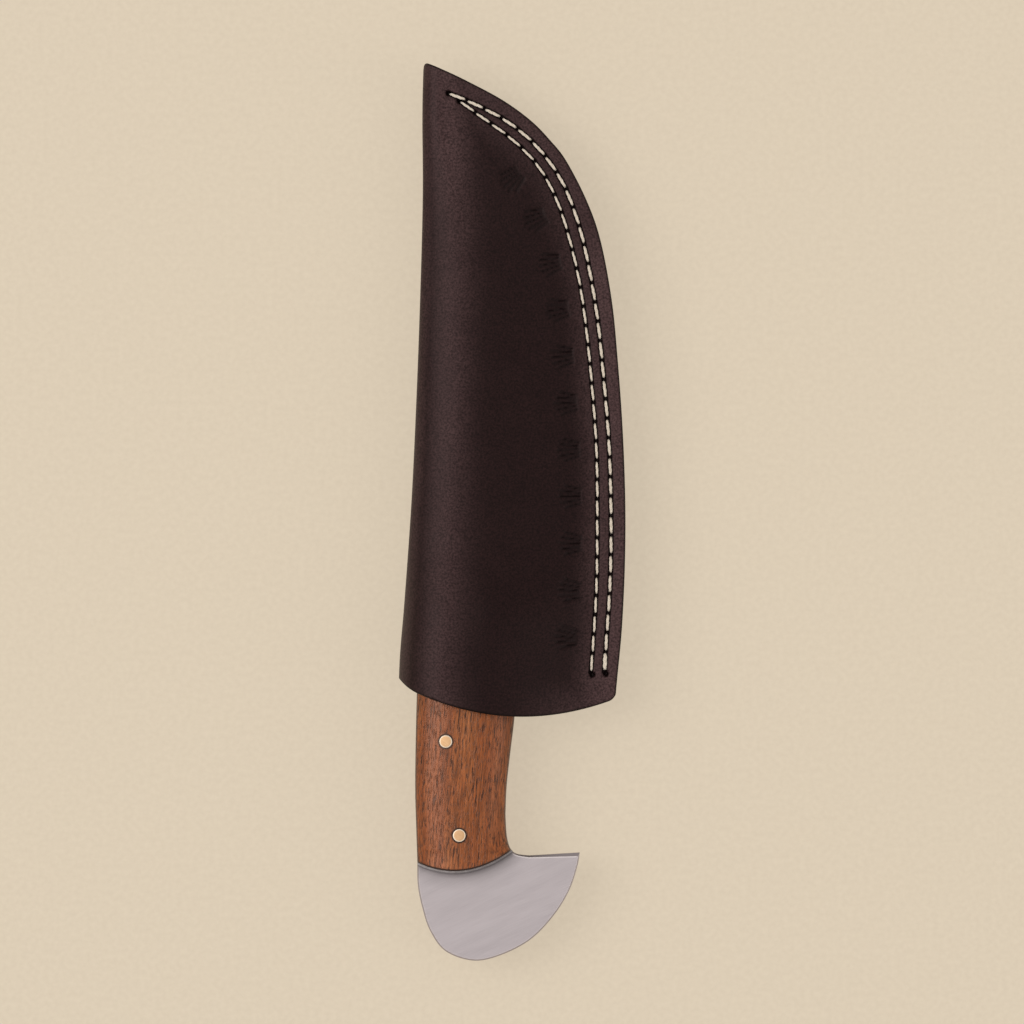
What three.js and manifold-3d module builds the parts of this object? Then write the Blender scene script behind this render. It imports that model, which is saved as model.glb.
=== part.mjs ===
// A fixed-blade whittling knife in its leather pouch sheath, lying flat on the sheath's belt loop.
// Millimetres. +X runs from the folded side of the sheath to its stitched side, +Y from the knife's
// butt to the sheath's tip, +Z up. The origin is the centre of the footprint, on the surface below.
import * as THREE from "three";
import { mergeVertices } from "three/addons/utils/BufferGeometryUtils.js";
import Module from "manifold-3d";

const wasm = await Module();
wasm.setup();

// ---- driving dimensions ----
const LEATHER = 2.8; // panel thickness
const WELT = 3.0; // space between the panels along the seam
const WELT_WIDTH = 9.6; // from the cut edge inwards
const STEEL = 4.5; // blade and tang plate
const LINER = 0.8;
const SCALE = 6.2; // one wooden scale at its crown
const POCKET_PLAY = 0.6; // between the scales and the leather
const FACE_GAP = 0.05; // left between faces that touch
const PIN_RADIUS = 1.9;
const PIN_HOLE_RADIUS = 1.95;
const THREAD_WIDTH = 0.9;
const THREAD_HEIGHT = 0.5;
const AWL_RADIUS = 0.85;
const LOOP_LEATHER = 2.5;
const LOOP_WIDTH = 26;

const HANDLE_HALF = STEEL / 2 + LINER + SCALE;
const MOUTH_HALF = HANDLE_HALF + POCKET_PLAY + LEATHER; // outer half height over the handle
const KNIFE_Z = MOUTH_HALF; // height of the blade's mid-plane: the mouth's bulge touches the ground
const SEAM_HALF = WELT / 2 + LEATHER; // outer half height of the flat seam margin
const BACK_HALF = 5.5; // outer half height of the flat back behind the blade

// ---- outlines, as points on smooth curves ----
const SHEATH_FOLD = [
  [-23.1, 120], [-23.6, 119.2], [-23.8, 116], [-24, 105], [-23.9, 84], [-24.6, 57], [-25.6, 30],
  [-26.9, 3], [-28.8, -24], [-29.9, -37], [-30.3, -46], [-30.4, -55],
];
const SHEATH_EDGE = [
  [-22.5, 120], [-19, 118.55], [-12.5, 115.5], [-2.6, 110], [4.9, 104.6], [14.2, 93.9], [19.8, 83.2],
  [23.6, 72.5], [26.5, 56.5], [28.2, 40.4], [29.6, 22], [30.3, 3], [30.2, -14], [29.4, -31],
  [28.1, -45], [27.2, -55],
];
const SPINE_AND_BACK = [
  [-18.6, 102.5], [-19, 84], [-19.8, 57], [-20.8, 30], [-22.1, 3], [-23.4, -12], [-24.8, -30],
  [-25.5, -50], [-25.9, -72], [-25.6, -85], [-25.3, -94],
];
const BUTT = [
  [-25.3, -94], [-25.2, -99.6], [-24.1, -105.4], [-21.9, -112], [-17.7, -117.5], [-10.2, -120],
  [-2.7, -118.4], [5, -114.3], [11.1, -108], [15.3, -101.2], [17.5, -94.7], [18.1, -91.1],
];
const BEAK_TO_GRIP = [[4.6, -91.9], [1.2, -91.4], [-0.5, -89.9], [-1.4, -86.5], [-1.75, -81]];
const GRIP = [[-1.75, -81], [-1.5, -73], [-0.6, -64], [0.4, -54.5], [0.9, -44], [1.1, -33], [1.2, -24]];
const RICASSO = [[1.2, -24], [2.4, -18.6], [6, -15.2], [10.6, -13], [13.2, -9.5], [14, -5]];
const CUTTING_EDGE = [
  [13.2, -9.5], [14, -5], [15, 10], [15.2, 24], [14.6, 40], [13.1, 54.5], [10.5, 67.5],
  [6.8, 78], [2, 87], [-4.2, 94.2], [-11, 99.3], [-18, 102.45],
];

// ---- small geometry helpers ----
const curve = (points) => new THREE.SplineCurve(points.map(([x, y]) => new THREE.Vector2(x, y)));
const sampled = (points, count) => curve(points).getPoints(count);
const clamp01 = (t) => Math.min(1, Math.max(0, t));
const smooth = (t) => clamp01(t) ** 2 * (3 - 2 * clamp01(t));
const mix = THREE.MathUtils.lerp;
const steps = (count, from = 0, to = 1) =>
  Array.from({ length: count + 1 }, (_, i) => mix(from, to, i / count));

// x of a curve that runs up or down in y, at one y
function xAt(line, y) {
  const falling = line[0].y > line[line.length - 1].y;
  let i = 1;
  while (i < line.length - 1 && (falling ? line[i].y > y : line[i].y < y)) i++;
  const [a, b] = [line[i - 1], line[i]];
  return mix(a.x, b.x, clamp01((y - a.y) / (b.y - a.y)));
}

// distance from a point to a polyline
function distanceTo(line, x, y) {
  let nearest = Infinity;
  for (let i = 1; i < line.length; i++) {
    const [a, b] = [line[i - 1], line[i]];
    const [dx, dy] = [b.x - a.x, b.y - a.y];
    const t = clamp01(((x - a.x) * dx + (y - a.y) * dy) / (dx * dx + dy * dy));
    nearest = Math.min(nearest, Math.hypot(x - a.x - t * dx, y - a.y - t * dy));
  }
  return nearest;
}

// a line moved sideways, to the right of its direction, by inset(share of the way along)
function offsetLine(line, inset) {
  return line.map((p, i) => {
    const before = line[Math.max(0, i - 1)];
    const after = line[Math.min(line.length - 1, i + 1)];
    const along = after.clone().sub(before).normalize();
    const by = inset(i / (line.length - 1));
    return new THREE.Vector2(p.x + along.y * by, p.y - along.x * by);
  });
}

// a BufferGeometry from vertices and triangles, turned so that its faces point out
function closedGeometry(vertices, triangles) {
  let volume = 0;
  const [a, b, c] = [new THREE.Vector3(), new THREE.Vector3(), new THREE.Vector3()];
  for (const [i, j, k] of triangles) {
    volume += a.copy(vertices[i]).dot(b.copy(vertices[j]).cross(c.copy(vertices[k])));
  }
  const order = volume < 0 ? triangles.map(([i, j, k]) => [i, k, j]) : triangles;
  const geometry = new THREE.BufferGeometry().setFromPoints(vertices);
  geometry.setIndex(order.flat());
  return geometry;
}

// a sheet with thickness: two grids of the same size, and a strip round their border
function shell(outer, inner) {
  const [rows, columns] = [outer.length, outer[0].length];
  const vertices = [...outer.flat(), ...inner.flat()];
  const top = (i, j) => i * columns + j;
  const bottom = (i, j) => rows * columns + i * columns + j;
  const triangles = [];
  const quad = (a, b, c, d) => triangles.push([a, b, c], [a, c, d]);
  for (let i = 0; i < rows - 1; i++) {
    for (let j = 0; j < columns - 1; j++) {
      quad(top(i, j), top(i, j + 1), top(i + 1, j + 1), top(i + 1, j));
      quad(bottom(i, j), bottom(i + 1, j), bottom(i + 1, j + 1), bottom(i, j + 1));
    }
  }
  for (let j = 0; j < columns - 1; j++) {
    quad(top(0, j), bottom(0, j), bottom(0, j + 1), top(0, j + 1));
    quad(top(rows - 1, j), top(rows - 1, j + 1), bottom(rows - 1, j + 1), bottom(rows - 1, j));
  }
  for (let i = 0; i < rows - 1; i++) {
    quad(top(i, 0), top(i + 1, 0), bottom(i + 1, 0), bottom(i, 0));
    quad(top(i, columns - 1), bottom(i, columns - 1), bottom(i + 1, columns - 1), top(i + 1, columns - 1));
  }
  return closedGeometry(vertices, triangles);
}

// a closed loop of four-cornered sections, as a ring
function ring(sections) {
  const corners = 4;
  const count = sections.length;
  const triangles = [];
  for (let i = 0; i < count; i++) {
    for (let j = 0; j < corners; j++) {
      const [a, b] = [i * corners + j, i * corners + ((j + 1) % corners)];
      const [c, d] = [((i + 1) % count) * corners + ((j + 1) % corners), ((i + 1) % count) * corners + j];
      triangles.push([a, b, c], [a, c, d]);
    }
  }
  return closedGeometry(sections.flat(), triangles);
}

// an outline in X and Y, raised from one height to another
function plate(outline, low, high) {
  const geometry = new THREE.ExtrudeGeometry(new THREE.Shape(outline), {
    depth: high - low,
    bevelEnabled: false,
    curveSegments: 1,
  });
  return geometry.translate(0, 0, low);
}

const cylinder = (radius, x, y, low, high, sides) =>
  new THREE.CylinderGeometry(radius, radius, high - low, sides)
    .rotateX(Math.PI / 2)
    .translate(x, y, (low + high) / 2);

// geometry to solid and back, for cuts and joins
function toSolid(geometry) {
  const bare = new THREE.BufferGeometry();
  bare.setAttribute("position", geometry.getAttribute("position"));
  bare.setIndex(geometry.index);
  const merged = mergeVertices(bare, 1e-4);
  return new wasm.Manifold(
    new wasm.Mesh({
      numProp: 3,
      vertProperties: new Float32Array(merged.attributes.position.array),
      triVerts: new Uint32Array(merged.index.array),
    }),
  );
}

function toGeometry(solid) {
  const mesh = solid.getMesh();
  const geometry = new THREE.BufferGeometry();
  geometry.setAttribute("position", new THREE.BufferAttribute(mesh.vertProperties, mesh.numProp));
  geometry.setIndex(new THREE.BufferAttribute(mesh.triVerts, 1));
  return geometry;
}

const cut = (geometry, tools) =>
  toGeometry(tools.reduce((solid, tool) => solid.subtract(toSolid(tool)), toSolid(geometry)));

// ---- materials ----
const finish = (color, roughness, metalness = 0) =>
  new THREE.MeshStandardMaterial({ color, roughness, metalness });
const darkLeather = finish(0x41312f, 0.62);
const coreLeather = finish(0x4d3a34, 0.75);
const creamThread = finish(0xe6dac2, 0.8);
const brushedSteel = finish(0xb8aeaf, 0.35, 1);
const walnut = finish(0x8a5334, 0.5);
const liningFibre = finish(0x8d8884, 0.7);
const brass = finish(0xe7c8a0, 0.3, 1);

const whittlingKnife = new THREE.Group();

function add(name, geometry, material) {
  const mesh = new THREE.Mesh(geometry, material);
  mesh.name = name;
  whittlingKnife.add(mesh);
}

// ---- sheath: one leather sheet folded round the knife's back ----
const foldLine = sampled(SHEATH_FOLD, 180);
const edgeLine = sampled(SHEATH_EDGE, 280);
const marginLine = offsetLine(edgeLine, () => WELT_WIDTH);
const MOUTH_LOW = -54.7; // lowest point of the mouth's arc
const MOUTH_MIDDLE = 3;
const MOUTH_CURVE = 0.0078; // rise per squared millimetre from the middle
const CORNER_RADIUS = 2;
const TIP_Y = 120;
const TIP_FILLED = 0.7; // how far the inner face stays from the tip, in leather thicknesses

function mouthY(x) {
  const fromEdge = clamp01((xAt(edgeLine, -47) - x) / CORNER_RADIUS);
  const corner = CORNER_RADIUS * (1 - Math.sqrt(1 - (1 - fromEdge) ** 2));
  return MOUTH_LOW + MOUTH_CURVE * (x - MOUTH_MIDDLE) ** 2 + corner;
}

// how far the sheath swells for the handle, from 0 behind the blade to 1 at the mouth
const BULGE_FROM = -5;
const BULGE_FULL = -31;
const bulge = (y) => smooth((BULGE_FROM - y) / (BULGE_FROM - BULGE_FULL));
// how far the pocket has closed towards the tip
const tipShare = (y) => smooth((y - 62) / 50);

// outer half height over the pocket, width of the rounding at the fold, and of the slope to the seam
function pocketShape(y, front) {
  const height = front
    ? mix(mix(8.6, SEAM_HALF + 0.7, smooth((y - 5) / 100)), MOUTH_HALF, bulge(y))
    : mix(mix(BACK_HALF, SEAM_HALF, tipShare(y)), MOUTH_HALF, bulge(y));
  const round = front ? mix(12.5, 4.4, tipShare(y)) : mix(mix(6.5, 4.4, tipShare(y)), 11, bulge(y));
  const slope = mix(front ? 34 : 12, 28, bulge(y));
  return { height, round, slope };
}

// half height of the leather's outer (depth 0) or inner (depth LEATHER) face at x, y
function sheathHeight(x, y, front, depth) {
  const { height, round, slope } = pocketShape(y, front);
  const fromWelt = distanceTo(edgeLine, x, y) - WELT_WIDTH;
  const seam = SEAM_HALF - depth;
  const rise = clamp01(fromWelt / slope);
  const crown = seam + (height - depth - seam) * mix(smooth(rise), Math.sin(rise * Math.PI / 2), 0.7);
  const fromFold = clamp01((x - xAt(foldLine, y) - depth) / (round - depth));
  return crown * Math.sqrt(1 - (1 - fromFold) ** 2);
}

// x at a share across: 0 on the fold, POCKET_SHARE where the flat seam margin starts, 1 on the cut edge
function acrossX(across, y, depth) {
  const fold = xAt(foldLine, y) + depth;
  const edge = xAt(edgeLine, y);
  const margin = Math.max(xAt(marginLine, y), mix(fold, edge, 0.3));
  if (across < POCKET_SHARE) return mix(fold, margin, across / POCKET_SHARE);
  return mix(margin, edge, (across - POCKET_SHARE) / (1 - POCKET_SHARE));
}

// x, y of the sheet at shares across and along (0 tip, 1 mouth); the inner face stops short of the tip
function sheathPlace(across, along, depth) {
  const level = mix(TIP_Y - TIP_FILLED * depth, MOUTH_LOW, along);
  const pull = clamp01((along - 0.55) / 0.45) ** 2;
  let [x, y] = [0, level];
  for (let pass = 0; pass < 4; pass++) {
    x = acrossX(across, y, depth);
    y = level + (mouthY(x) - MOUTH_LOW) * pull;
  }
  return [x, y];
}

const SHEATH_ROWS = [0, 0.01, 0.025, 0.05, 0.08, ...steps(17, 0.12, 0.94), 0.97, 1];
const POCKET_SHARE = 0.84;
const SHEATH_COLUMNS = [...steps(4, 0, 0.12), ...steps(7, 0.18, POCKET_SHARE), 0.92, 0.97, 1];

function sheathGrid(depth) {
  return SHEATH_ROWS.map((along) => {
    const side = (across, front) => {
      const [x, y] = sheathPlace(across, along, depth);
      const height = across === 0 ? 0 : sheathHeight(x, y, front, depth);
      return new THREE.Vector3(x, y, KNIFE_Z + (front ? height : -height));
    };
    const front = [...SHEATH_COLUMNS].reverse().map((across) => side(across, true));
    return [...front, ...SHEATH_COLUMNS.slice(1).map((across) => side(across, false))];
  });
}

// ---- stitch rows: inset from the cut edge, and drawn together near the tip ----
const ROW_TO = 186.6; // distances are along the cut edge, from the tip
const OUTER_ROW = { from: 9.2, inset: 3.9, nearTip: 2.1, fade: 14.5 };
const INNER_ROW = { from: 13.4, inset: 7.4, nearTip: -2.2, fade: 24 };

function stitchRow({ from, inset, nearTip, fade }) {
  const length = curve(SHEATH_EDGE).getLength();
  const line = curve(SHEATH_EDGE).getSpacedPoints(Math.round(length));
  const step = length / (line.length - 1);
  const row = offsetLine(line, (share) => inset + nearTip * Math.exp(-((share * length / fade) ** 2)));
  return row.filter((_, i) => i * step > from && i * step < ROW_TO);
}
const outerRow = stitchRow(OUTER_ROW);
const innerRow = stitchRow(INNER_ROW);

const awlHoles = [outerRow, innerRow].flatMap((row) =>
  [row[0], row[row.length - 1]].map((p) =>
    cylinder(AWL_RADIUS, p.x, p.y, KNIFE_Z - SEAM_HALF - 2, KNIFE_Z + SEAM_HALF + 2, 8),
  ),
);

add("sheath_body", cut(shell(sheathGrid(0), sheathGrid(LEATHER)), awlHoles), darkLeather);

// ---- welt: the filler strip between the two panels ----
function weltOutline() {
  const clearOfFold = (p) => p.x > xAt(foldLine, p.y) + 6;
  const edge = edgeLine.filter((p, i) => i % 7 === 0 && clearOfFold(p) && p.y > mouthY(p.x) + 1);
  const inside = offsetLine(edgeLine, () => WELT_WIDTH)
    .filter((p, i) => i % 7 === 0 && clearOfFold(p) && p.y > mouthY(p.x) + 1);
  const [from, to] = [edge[edge.length - 1].x, inside[inside.length - 1].x];
  const mouth = steps(8, from, to).map((x) => new THREE.Vector2(x, mouthY(x)));
  return [...edge, ...mouth, ...inside.reverse()];
}
const weltHalf = WELT / 2 - FACE_GAP;
add(
  "welt",
  cut(plate(weltOutline(), KNIFE_Z - weltHalf, KNIFE_Z + weltHalf), awlHoles),
  coreLeather,
);

// ---- threads: each row runs up the front, through the last hole and back down the back ----
function threadRing(row) {
  const stitches = 26;
  const places = steps(stitches).map((share) => row[Math.round(share * (row.length - 1))]);
  const across = places.map((_, i) => {
    const along = places[Math.min(stitches, i + 1)].clone().sub(places[Math.max(0, i - 1)]).normalize();
    return { along, side: new THREE.Vector2(along.y, -along.x) };
  });
  const surface = SEAM_HALF + FACE_GAP;
  const section = (i, face) => {
    const { along, side } = across[i];
    const end = i === 0 ? -1 : i === stitches ? 1 : 0;
    return [
      [surface + THREAD_HEIGHT, THREAD_HEIGHT / 2, 1],
      [surface + THREAD_HEIGHT, THREAD_HEIGHT / 2, -1],
      [surface, -THREAD_HEIGHT / 2, -1],
      [surface, -THREAD_HEIGHT / 2, 1],
    ].map(([height, reach, hand]) => new THREE.Vector3(
      places[i].x + along.x * end * reach + side.x * hand * THREAD_WIDTH / 2,
      places[i].y + along.y * end * reach + side.y * hand * THREAD_WIDTH / 2,
      KNIFE_Z + face * height,
    ));
  };
  const order = places.map((_, i) => i);
  return ring([...order.map((i) => section(i, 1)), ...order.reverse().map((i) => section(i, -1))]);
}
add("thread_outer_row", threadRing(outerRow), creamThread);
add("thread_inner_row", threadRing(innerRow), creamThread);

// ---- belt loop: a strap that stands off the back, sewn down at both ends ----
const LOOP_X = -6;
const LOOP_FROM = 3; // end nearer the mouth
const LOOP_TO = 77;
const LOOP_END = 9; // length of each sewn end
const LOOP_RAMP = 6;
const LOOP_SEAT = KNIFE_Z - BACK_HALF - 0.1; // where the strap's ends lie against the back
function loopHeight(y) {
  const fromEnd = Math.min(y - LOOP_FROM, LOOP_TO - y) - LOOP_END;
  return mix(LOOP_SEAT - LOOP_LEATHER, 0, smooth(fromEnd / LOOP_RAMP));
}
function beltLoop() {
  const lengths = [
    LOOP_FROM, ...steps(6, LOOP_FROM + LOOP_END, LOOP_FROM + LOOP_END + LOOP_RAMP),
    ...steps(6, LOOP_TO - LOOP_END - LOOP_RAMP, LOOP_TO - LOOP_END), LOOP_TO,
  ];
  const lower = lengths.map((y) => new THREE.Vector2(y, loopHeight(y)));
  const upper = lengths.map((y) => new THREE.Vector2(y, loopHeight(y) + LOOP_LEATHER));
  const profile = new THREE.Shape([...lower, ...upper.reverse()]);
  const geometry = new THREE.ExtrudeGeometry(profile, { depth: LOOP_WIDTH, bevelEnabled: false });
  // the profile's plane (length, height) is turned to stand on Y and Z, its depth along X
  geometry.applyMatrix4(new THREE.Matrix4().set(0, 0, 1, 0, 1, 0, 0, 0, 0, 1, 0, 0, 0, 0, 0, 1));
  return geometry.translate(LOOP_X - LOOP_WIDTH / 2, 0, 0);
}
add("belt_loop", beltLoop(), darkLeather);

// the box of stitches that holds each end of the strap
function loopThread(middleY) {
  const high = LOOP_SEAT - LOOP_LEATHER - FACE_GAP;
  const low = high - THREAD_HEIGHT;
  const half = THREAD_WIDTH / 2;
  const section = [[half, high], [half, low], [-half, low], [-half, high]];
  const halfX = LOOP_WIDTH / 2 - 3;
  const halfY = LOOP_END / 2 - 2.2;
  const corner = ([i, j]) => section.map(([reach, z]) =>
    new THREE.Vector3(LOOP_X + i * (halfX + reach), middleY + j * (halfY + reach), z));
  return ring([[-1, -1], [1, -1], [1, 1], [-1, 1]].map(corner));
}
add("loop_thread_mouth_end", loopThread(LOOP_FROM + LOOP_END / 2), creamThread);
add("loop_thread_tip_end", loopThread(LOOP_TO - LOOP_END / 2), creamThread);

// ---- knife: blade, tang and beaked butt in one plate ----
const spineLine = sampled(SPINE_AND_BACK, 120);
const cuttingLine = sampled(CUTTING_EDGE, 120);
const PLATE_TOP = -7; // where the plain plate gives way to the ground blade
const EDGE_HALF = 0.2;

function tangPlate() {
  const outline = [
    new THREE.Vector2(xAt(spineLine, PLATE_TOP), PLATE_TOP),
    ...spineLine.filter((p, i) => i % 4 === 0 && p.y < PLATE_TOP - 1 && p.y > -93),
    ...sampled(BUTT, 44),
    ...sampled(BEAK_TO_GRIP, 12),
    ...sampled(GRIP, 12).slice(1, -1),
    ...sampled(RICASSO, 14).filter((p) => p.y < PLATE_TOP),
    new THREE.Vector2(xAt(cuttingLine, PLATE_TOP), PLATE_TOP),
  ];
  return plate(outline, KNIFE_Z - STEEL / 2, KNIFE_Z + STEEL / 2);
}

function groundBlade() {
  const heights = [-9, -6, -3, 2, 12, 24, 36, 48, 58, 67, 75, 82, 88, 93, 97, 100, 101.6, 102.3];
  const grid = (face) => heights.map((y) => {
    const [back, edge] = [xAt(spineLine, y), xAt(cuttingLine, y)];
    const half = (STEEL / 2) * mix(1, 0.5, smooth((y - 20) / 83));
    const ground = smooth((y + 8) / 7); // the bevel runs in over the plunge
    const grindLine = mix(edge - 0.4, mix(back, edge, 0.22), ground);
    const edgeHalf = mix(half, EDGE_HALF, ground);
    const middle = (grindLine + edge) / 2;
    return [[back, half], [grindLine, half], [middle, (half + edgeHalf) / 2], [edge, edgeHalf]]
      .map(([x, z]) => new THREE.Vector3(x, y, KNIFE_Z + face * z));
  });
  return shell(grid(1), grid(-1));
}

const PINS = { pin_front: [-17, -36.3], pin_middle: [-17.7, -61.3], pin_rear: [-14.1, -86.4] };
const pinHoles = Object.values(PINS).map(([x, y]) =>
  cylinder(PIN_HOLE_RADIUS, x, y, KNIFE_Z - HANDLE_HALF - 1, KNIFE_Z + HANDLE_HALF + 1, 24),
);

const wholePlate = toGeometry(toSolid(tangPlate()).add(toSolid(groundBlade())));
add("blade", cut(wholePlate, pinHoles), brushedSteel);

// ---- liners and scales: they stop at an arc that leaves the butt bare ----
const HANDLE_FRONT = -24;
const ARC_LOW = -95.95;
const ARC_MIDDLE = -15.5;
const ARC_CURVE = 0.0235;
const LINER_SHOWS = 0.7; // the liner stands this far past the wood
const arcY = (x) => ARC_LOW + ARC_CURVE * (x - ARC_MIDDLE) ** 2;
const gripLine = [...sampled(BEAK_TO_GRIP, 30), ...sampled(GRIP, 60)].filter((p) => p.x < 1.3);

// x, y on the handle at a share across (0 back, 1 grip side) and along (0 front, 1 butt end)
function handlePlace(across, along, past = 0) {
  let [x, y] = [-12, 0];
  for (let pass = 0; pass < 4; pass++) {
    y = mix(HANDLE_FRONT, arcY(x) - past, along);
    x = mix(xAt(spineLine, y), xAt(gripLine, y), across);
  }
  return [x, y];
}

const HANDLE_ROWS = [0, 0.015, 0.04, 0.075, ...steps(11, 0.12, 0.97), 1];
const HANDLE_COLUMNS = [0, 0.012, 0.035, 0.08, 0.15, 0.26, 0.4, 0.6, 0.74, 0.85, 0.92, 0.965, 0.988, 1];
const SCALE_EDGE = 0.7; // height of the scale's wall where it meets the liner
const FRONT_ROUND = 7; // length over which the scale's front end rounds down

function scaleHeight(across, along) {
  const side = Math.sqrt(1 - Math.abs(2 * across - 1) ** 2.4);
  const fromFront = clamp01((along * (HANDLE_FRONT - ARC_LOW)) / FRONT_ROUND);
  const front = Math.sqrt(1 - (1 - fromFront) ** 2);
  return SCALE_EDGE + (SCALE - SCALE_EDGE) * side * mix(0.15, 1, front);
}

function scaleSolid(face) {
  const base = STEEL / 2 + LINER + FACE_GAP;
  const grid = (top) => HANDLE_ROWS.map((along) => HANDLE_COLUMNS.map((across) => {
    const [x, y] = handlePlace(across, along);
    const height = base + (top ? scaleHeight(across, along) : 0);
    return new THREE.Vector3(x, y, KNIFE_Z + face * height);
  }));
  return cut(shell(grid(true), grid(false)), pinHoles);
}

function linerSolid(face) {
  const border = [
    ...steps(14).map((along) => handlePlace(0, along, LINER_SHOWS)),
    ...steps(10).slice(1).map((across) => handlePlace(across, 1, LINER_SHOWS)),
    ...steps(14, 1, 0).slice(1).map((along) => handlePlace(1, along, LINER_SHOWS)),
  ].map(([x, y]) => new THREE.Vector2(x, y));
  const [near, far] = [STEEL / 2 + FACE_GAP, STEEL / 2 + LINER];
  const [low, high] = face > 0 ? [near, far] : [-far, -near];
  return cut(plate(border, KNIFE_Z + low, KNIFE_Z + high), pinHoles);
}

for (const [side, face] of [["front", 1], ["back", -1]]) {
  add(`scale_${side}`, scaleSolid(face), walnut);
  add(`liner_${side}`, linerSolid(face), liningFibre);
}

// ---- pins: brass rod through both scales and the tang, with slightly domed ends ----
const PIN_PROUD = 0.15;
const DOME = 0.2;
function pin(x, y) {
  const across = (x - xAt(spineLine, y)) / (xAt(gripLine, y) - xAt(spineLine, y));
  const along = (HANDLE_FRONT - y) / (HANDLE_FRONT - arcY(x));
  const half = STEEL / 2 + LINER + scaleHeight(across, along) + PIN_PROUD;
  const profile = [
    [0, -half], [PIN_RADIUS * 0.6, -half + DOME * 0.3], [PIN_RADIUS, -half + DOME],
    [PIN_RADIUS, half - DOME], [PIN_RADIUS * 0.6, half - DOME * 0.3], [0, half],
  ].map(([r, z]) => new THREE.Vector2(r, z));
  return new THREE.LatheGeometry(profile, 24).rotateX(Math.PI / 2).translate(x, y, KNIFE_Z);
}
for (const [name, [x, y]] of Object.entries(PINS)) add(name, pin(x, y), brass);

export default whittlingKnife;
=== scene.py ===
"""Fine meshes and materials for a whittling knife in its leather pouch sheath.

Metres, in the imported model's frame: +X runs from the sheath's fold to its seam, +Y from the butt to the
sheath's tip, and +Z up. The sheath lies on its back with the knife in it.
"""
import math

import bmesh
import bpy
import numpy as np
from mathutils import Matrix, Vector, noise

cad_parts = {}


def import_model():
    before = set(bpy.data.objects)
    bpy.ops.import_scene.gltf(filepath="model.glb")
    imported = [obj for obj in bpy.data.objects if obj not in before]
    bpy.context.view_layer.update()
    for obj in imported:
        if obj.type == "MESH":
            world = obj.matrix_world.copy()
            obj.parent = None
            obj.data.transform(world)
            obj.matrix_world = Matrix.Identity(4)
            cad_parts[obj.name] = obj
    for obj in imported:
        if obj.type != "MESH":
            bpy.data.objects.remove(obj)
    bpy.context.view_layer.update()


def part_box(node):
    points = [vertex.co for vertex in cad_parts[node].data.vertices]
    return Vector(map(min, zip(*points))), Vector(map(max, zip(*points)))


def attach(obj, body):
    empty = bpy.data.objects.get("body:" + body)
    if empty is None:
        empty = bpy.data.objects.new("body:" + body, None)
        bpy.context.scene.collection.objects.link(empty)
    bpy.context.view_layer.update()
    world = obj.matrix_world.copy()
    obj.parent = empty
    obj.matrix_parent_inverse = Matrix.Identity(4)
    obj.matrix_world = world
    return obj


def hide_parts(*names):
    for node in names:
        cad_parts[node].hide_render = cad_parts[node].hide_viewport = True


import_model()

# ---- driving dimensions, from the frame where a node shows them ----
blade_low, blade_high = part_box("blade")
loop_low, loop_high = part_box("belt_loop")

STEEL = blade_high.z - blade_low.z
KNIFE_Z = (blade_low.z + blade_high.z) / 2
MOUTH_HALF = KNIFE_Z  # the mouth's half height: its lower side rests on the floor
LINER = 0.0008
SCALE = 0.0062  # a wooden scale's thickness along its middle
SCALE_EDGE = 0.0007  # and along its sides
FACE_GAP = 0.00005  # between pieces that lie on each other
LEATHER = 0.0028
WELT = 0.003
WELT_WIDTH = 0.0096
SEAM_HALF = WELT / 2 + LEATHER
LOOP_LEATHER = 0.0025
HANDLE_FRONT = -0.024
ARC_LOW = -0.09595  # Y of the lowest point of the wood's curved rear end
ARC_MIDDLE = -0.0155  # X of that point
ARC_CURVE = 23.5  # the curve's rise per squared metre
LINER_SHOWS = 0.0007  # how far a liner stands past the wood there
FRONT_ROUND = 0.007  # length over which a scale is turned down at its front end


def mm(points):
    return np.array(points) / 1000


# ---- outlines, as points on smooth curves ----
SHEATH_FOLD = mm([
    (-23.1, 120), (-23.6, 119.2), (-23.8, 116), (-24, 105), (-23.9, 84), (-24.6, 57), (-25.6, 30),
    (-26.9, 3), (-28.8, -24), (-29.9, -37), (-30.3, -46), (-30.4, -55),
])
SHEATH_EDGE = mm([
    (-22.5, 120), (-19, 118.55), (-12.5, 115.5), (-2.6, 110.2), (5, 104.7), (10.2, 99.4), (14.5, 93.9),
    (20, 83.2), (23.7, 72.5), (26.7, 56.5), (28.3, 40.4), (29.6, 22), (30.3, 3), (30.2, -14), (29.4, -31),
    (28.1, -45), (27.2, -55),
])
SPINE_AND_BACK = mm([
    (-18.6, 102.5), (-19, 84), (-19.8, 57), (-20.8, 30), (-22.1, 3), (-23.4, -12), (-24.8, -30),
    (-25.5, -50), (-25.9, -72), (-25.6, -85), (-25.3, -94),
])
BUTT = mm([
    (-25.3, -94), (-25.2, -99.6), (-24.1, -105.4), (-21.9, -112), (-17.7, -117.5), (-10.2, -120),
    (-2.7, -118.4), (5, -114.3), (11.1, -108), (15.3, -101.2), (17.5, -94.7), (18.1, -91.1),
])
BEAK_TO_GRIP = mm([
    (4.6, -91.9), (1.2, -91.4), (-0.5, -89.9), (-1.4, -86.5), (-1.75, -81),
])
GRIP = mm([
    (-1.75, -81), (-1.4, -73), (-0.4, -64), (0.7, -54.5), (1.1, -44), (1.2, -33), (1.2, -24),
])
RICASSO = mm([
    (1.2, -24), (2.4, -18.6), (6, -15.2), (10.6, -13), (13.2, -9.5), (14, -5),
])
CUTTING_EDGE = mm([
    (13.2, -9.5), (14, -5), (15, 10), (15.2, 24), (14.6, 40), (13.1, 54.5), (10.5, 67.5), (6.8, 78),
    (2, 87), (-4.2, 94.2), (-11, 99.3), (-18, 102.45),
])
PINS = {"pin_front": (-0.017, -0.0363), "pin_middle": (-0.0177, -0.0613), "pin_rear": (-0.0141, -0.0864)}


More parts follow.
